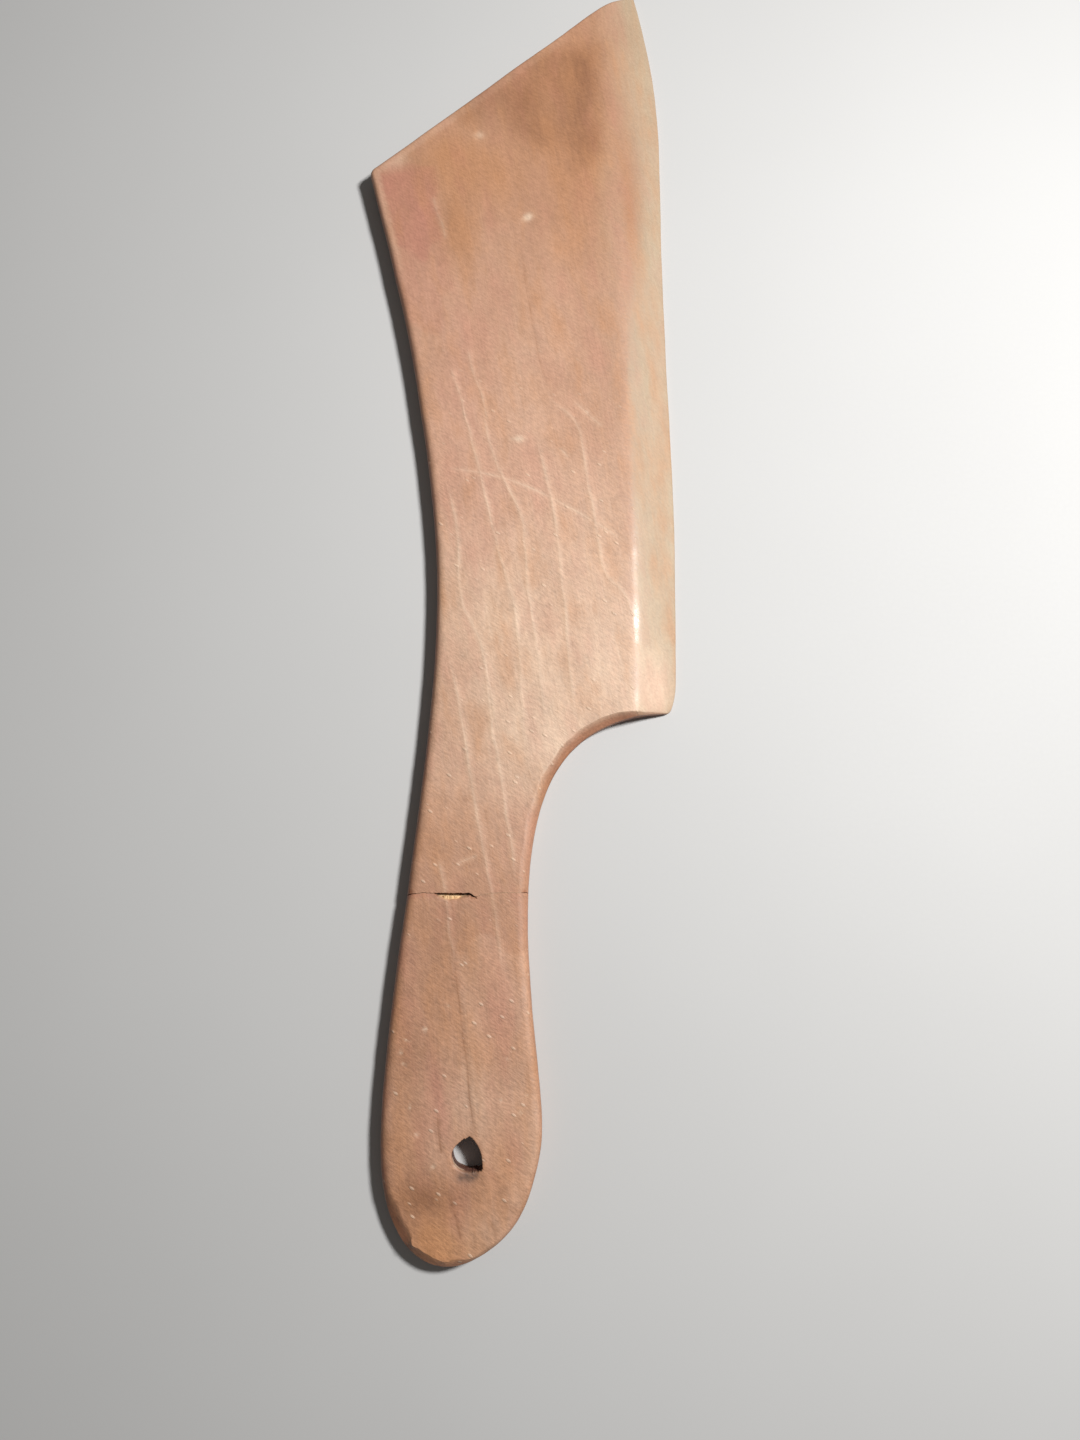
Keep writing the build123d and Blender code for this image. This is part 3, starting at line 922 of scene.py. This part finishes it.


# Marks: how strongly each stain, vein, kind of wear, painted shade and painted light shows on each vertex

def nearest_rim(x, y):
    """Which vertex of the outline is nearest each point, and how far away it is."""
    tree = KDTree(len(RIM))
    for i, p in enumerate(RIM):
        tree.insert((p[0], p[1], 0), i)
    tree.balance()
    found = [tree.find((a, b, 0)) for a, b in zip(x, y)]
    return np.array([f[1] for f in found]), np.array([f[2] for f in found])


def mark_bevel(marks, x, y, on_front):
    """The straw-coloured bevel, and its ridge: painted cream near the heel, partly as wear and partly as
    painted sheen, and polished there.
    """
    share = across_bevel(x, y)
    on_blade = y > WAIST_UPPER[1]
    early = lookup(y, [(180, 0.08), (230, 0.25), (265, 0.6)])
    wide = lookup(y, [(180, 0.16), (230, 1.15), (265, 1.3)])
    straw = smooth((share + early) / wide) * on_blade * on_front
    marks["straw"] = np.maximum(marks["straw"], straw * (1 - 0.6 * marks["orange"]))
    # Cream along the ridge near the heel: partly wear, partly a painted sheen
    ridge_wear_and_sheen = np.exp(-(share / 0.06)**2) * smooth((150 - y) / 25) * (y > HEEL[1]) * on_front
    marks["cream"] = np.maximum(marks["cream"], 0.6 * ridge_wear_and_sheen)
    polish = sum(strength * np.exp(-((y - place) / spread)**2) for place, spread, strength in POLISH)
    polish = polish * (0.8 + 0.2 * ripple(x * 0, y, 2.0, 51))
    marks["polish"] = np.exp(-(share / 0.1)**2) * polish * on_front
    marks["rough"] *= 1 - 0.35 * smooth(share * 8) * on_blade


def mark_sides(marks, x, y, below, rim_index, depth, on_front):
    """The band worn pale round the back corner, and the sides: darker across the grain, with painted shade on
    sides facing away from the lamp and on the choil's wall, and painted light on sides facing the lamp.
    """
    worn_edge = smooth((2.9 - depth) / 0.9) * smooth((y - 198) / 14) * smooth((26 - x) / 10)
    marks["pale"] = np.clip(marks["pale"] + 0.75 * worn_edge * (1 - marks["pale"]) * on_front, 0, 1)
    marks["rose"] *= 1 - 0.8 * worn_edge
    facing = RIM_OUT[rim_index]
    # Painted shade and light: sides facing -x, away from the lamp, take more of the dark colour and sides
    # facing +x less; sides across the grain take it as end grain, most towards the choil, as painted shade on
    # its wall
    shade = 0.3 + 0.5 * np.clip(-facing[:, 0], 0, 1) - 0.2 * np.clip(facing[:, 0], 0, 1)
    shade += np.abs(facing[:, 1])**1.5 * lookup(y, [(-20, 0.1), (20, 0.3), (90, 0.7)])
    side = np.clip(shade, 0, 1) * smooth((2.5 - depth) / 0.7) * smooth((below - 0.1) / 0.9)
    # On the choil the facet takes part of the dark colour as end grain, and the wall below it takes all of it
    # as painted shade
    choil = smooth((x - 13.5) / 5) * smooth((y - 74) / 8) * (y < HEEL[1] + 0.5) * smooth((2.7 - depth) / 0.3)
    facet_and_shaded_wall = 0.42 * smooth((below - 0.04) / 0.12) + 0.58 * smooth((below - 1.7) / 0.4)
    marks["end_grain_and_shade"] = side + choil * (facet_and_shaded_wall - side)


def mark_lines(marks, x, y, on_front):
    """The pale veins, scratches and nicks, and the dark seams."""
    line = np.maximum(line_mark(x, y, "vein", LINE_MARK_WIDTH), line_mark(x, y, "scratch", LINE_MARK_WIDTH))
    fading = lookup(y, [(25, 0.2), (56, 0.45), (80, 1.0), (150, 0.9), (172, 0.55), (205, 0.45)])
    marks["line"] = line * on_front * fading
    nicks = line_mark(x, y, "nick", LINE_MARK_WIDTH) * on_front
    marks["cream"] = np.maximum(marks["cream"], 0.8 * nicks)
    seams = line_mark(x, y, "seam", LINE_MARK_WIDTH) * on_front
    marks["seam"] = seams * lookup(y, [(60, 1), (170, 0.5)])


def mark_handle_break(marks, x, y, z, below):
    """Fresh wood in the mouth of the break, painted shade in its gap, and the reddish flake at its left end.
    """
    fresh = lookup(x, [(-7.4, 0), (-6, 1), (-1.6, 1), (-0.6, 0.3), (1, 0)])
    marks["fresh"] = mouth_share(x, y) * fresh * (y > 54)
    marks["rose"] = np.clip(marks["rose"] + 2.2 * scoop_share(x, y) * (y > 53), 0, 1)
    # Painted shade in the gap beyond the sliver
    gap = smooth((y - GAP_START) / 0.15) * (y < GAP_END) * (x > -8) * (x < 1.6)
    sunk = np.maximum(smooth((below - 0.1) / 0.2), smooth((THICKNESS - 0.5 - z) / 0.4))
    marks["painted_shade"] = np.maximum(marks["painted_shade"], gap * sunk)


def mark_hole(marks, x, y, z, below):
    """Painted shade inside the hole, and a cream crescent at its lower left: wood worn pale there, with
    painted light where the lamp lights that wall.
    """
    loop = hole_loop()
    from_hole, _ = distance_to(np.stack([x, y], axis=1), np.vstack([loop, loop[:1]]))
    in_hole = smooth((0.5 - from_hole) / 0.2) * smooth((below - 0.35) / 0.5)
    # Painted light on the crescent that the lamp lights, over wood worn pale; painted shade in the rest of
    # the hole
    rubbed_and_lit = smooth((-x - y - 3.1) / 0.5) * smooth((z - 3.5) / 0.5)
    marks["painted_shade"] = in_hole * (1 - rubbed_and_lit)
    marks["cream"] = np.maximum(marks["cream"], in_hole * rubbed_and_lit)


def mark_blade_break(marks, x, y, z, below, depth):
    """The torn face of the blade: weathered like the sides, with painted shade where the mouth lays it open.
    """
    torn = np.abs(y - lookup(x, BREAK_LINE)) < 0.9
    weathered = torn * smooth(below / 0.5) * (depth > 0.5)
    marks["end_grain_and_shade"] = np.clip(marks["end_grain_and_shade"] + weathered, 0, 1)
    # Painted shade on the torn face where the mouth lays it open
    open_part = smooth((z - 3.6) / 0.4) * (x > -7.8) * (x < 1.7)
    marks["painted_shade"] = torn * smooth((below - 0.05) / 0.2) * open_part


def mark_wood(piece, on_handle):
    """Stores each kind of mark on the piece's vertices, as an attribute that the wood's material reads."""
    data = piece.data
    co = np.zeros(len(data.vertices) * 3, np.float32)
    data.vertices.foreach_get("co", co)
    x, y, z = (co.reshape(-1, 3).astype(float) / MM).T
    below = front_height(x, y, on_handle) - z
    on_front = smooth((1.2 - below) / 1.0)
    marks = {kind: np.clip(stain(x, y, kind) + patch(x, y, kind), 0, 1) * on_front for kind in STAINS}
    marks["rough"] = lookup(y, [(-20, 1.15), (30, 1.1), (60, 0.9), (150, 0.85), (200, 0.62)])
    marks["fresh"] = 0 * x
    rim_index, depth = nearest_rim(x, y)
    mark_bevel(marks, x, y, on_front)
    mark_sides(marks, x, y, below, rim_index, depth, on_front)
    mark_lines(marks, x, y, on_front)
    if on_handle:
        mark_hole(marks, x, y, z, below)
        mark_handle_break(marks, x, y, z, below)
    else:
        mark_blade_break(marks, x, y, z, below, depth)
    for kind, values in marks.items():
        data.attributes.new(kind, "FLOAT", "POINT").data.foreach_set("value", values.astype(np.float32))


# The object

blade = board_piece("blade", 1).mesh("blade")
blade.data.materials.append(wood("blade_wood", -10.0))
mark_wood(blade, False)
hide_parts("blade_piece")

handle = board_piece("handle", -1, [hole_loop()]).mesh("handle")
handle.data.materials.append(wood("handle_wood", -5.5))
mark_wood(handle, True)
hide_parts("handle_piece")

glue_line = glue_shell().mesh("glue_line")
glue_line.data.materials.append(glue())
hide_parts("glue_film")

sliver = sliver_shell().mesh("sliver")
sliver.data.materials.append(fresh_wood())
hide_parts("torn_sliver")

# Floor, lamp, room and camera
FLOOR_SIZE = 3000
FLOOR_GAP = 0.05            # how far the floor lies under the board
LAMP_PLACE = (272, 214, 400)
LAMP_TARGET = (15, 95, 0)
LAMP_SIZE = 78
LAMP_POWER = 3.4            # W
ROOM_COLOUR = (1.0, 0.98, 0.95, 1)
ROOM_BRIGHTNESS = 0.12
CAMERA_PLACE = (15.84, 60.02, 258.14)
CAMERA_TARGET = (15.84, 95.32, 6)
CAMERA_LENS, CAMERA_SENSOR = 28, 36

half = FLOOR_SIZE / 2 * MM
corners = [(-half, -half, 0), (half, -half, 0), (half, half, 0), (-half, half, 0)]
floor_mesh = bpy.data.meshes.new("floor")
floor_mesh.from_pydata(corners, [], [(0, 1, 2, 3)])
floor = bpy.data.objects.new("floor", floor_mesh)
floor.location.z = -FLOOR_GAP * MM
floor_mesh.materials.append(floor_paint())
bpy.context.scene.collection.objects.link(floor)


def aim(thing, place, target):
    """Puts the thing at place, looking at target, both in millimetres, with +Y upwards in its view."""
    thing.location = Vector(place) * MM
    thing.rotation_euler = (Vector(target) - Vector(place)).to_track_quat("-Z", "Y").to_euler()


def lamp(name, place, target, size, power):
    """A round lamp, its size in millimetres and its power in watts."""
    light = bpy.data.lights.new(name, "AREA")
    light.shape, light.size, light.energy = "DISK", size * MM, power
    thing = bpy.data.objects.new(name, light)
    bpy.context.scene.collection.objects.link(thing)
    aim(thing, place, target)


lamp("key", LAMP_PLACE, LAMP_TARGET, LAMP_SIZE, LAMP_POWER)
world = bpy.data.worlds.new("studio")
world.use_nodes = True
background = world.node_tree.nodes["Background"]
background.inputs["Color"].default_value = ROOM_COLOUR
background.inputs["Strength"].default_value = ROOM_BRIGHTNESS
bpy.context.scene.world = world
bpy.context.scene.view_settings.view_transform = "Standard"

camera_data = bpy.data.cameras.new("camera")
camera_data.lens = CAMERA_LENS
camera_data.sensor_width = CAMERA_SENSOR
camera_data.sensor_fit = "AUTO"
camera_data.clip_start = 0.01
camera = bpy.data.objects.new("camera", camera_data)
bpy.context.scene.collection.objects.link(camera)
aim(camera, CAMERA_PLACE, CAMERA_TARGET)
bpy.context.scene.camera = camera
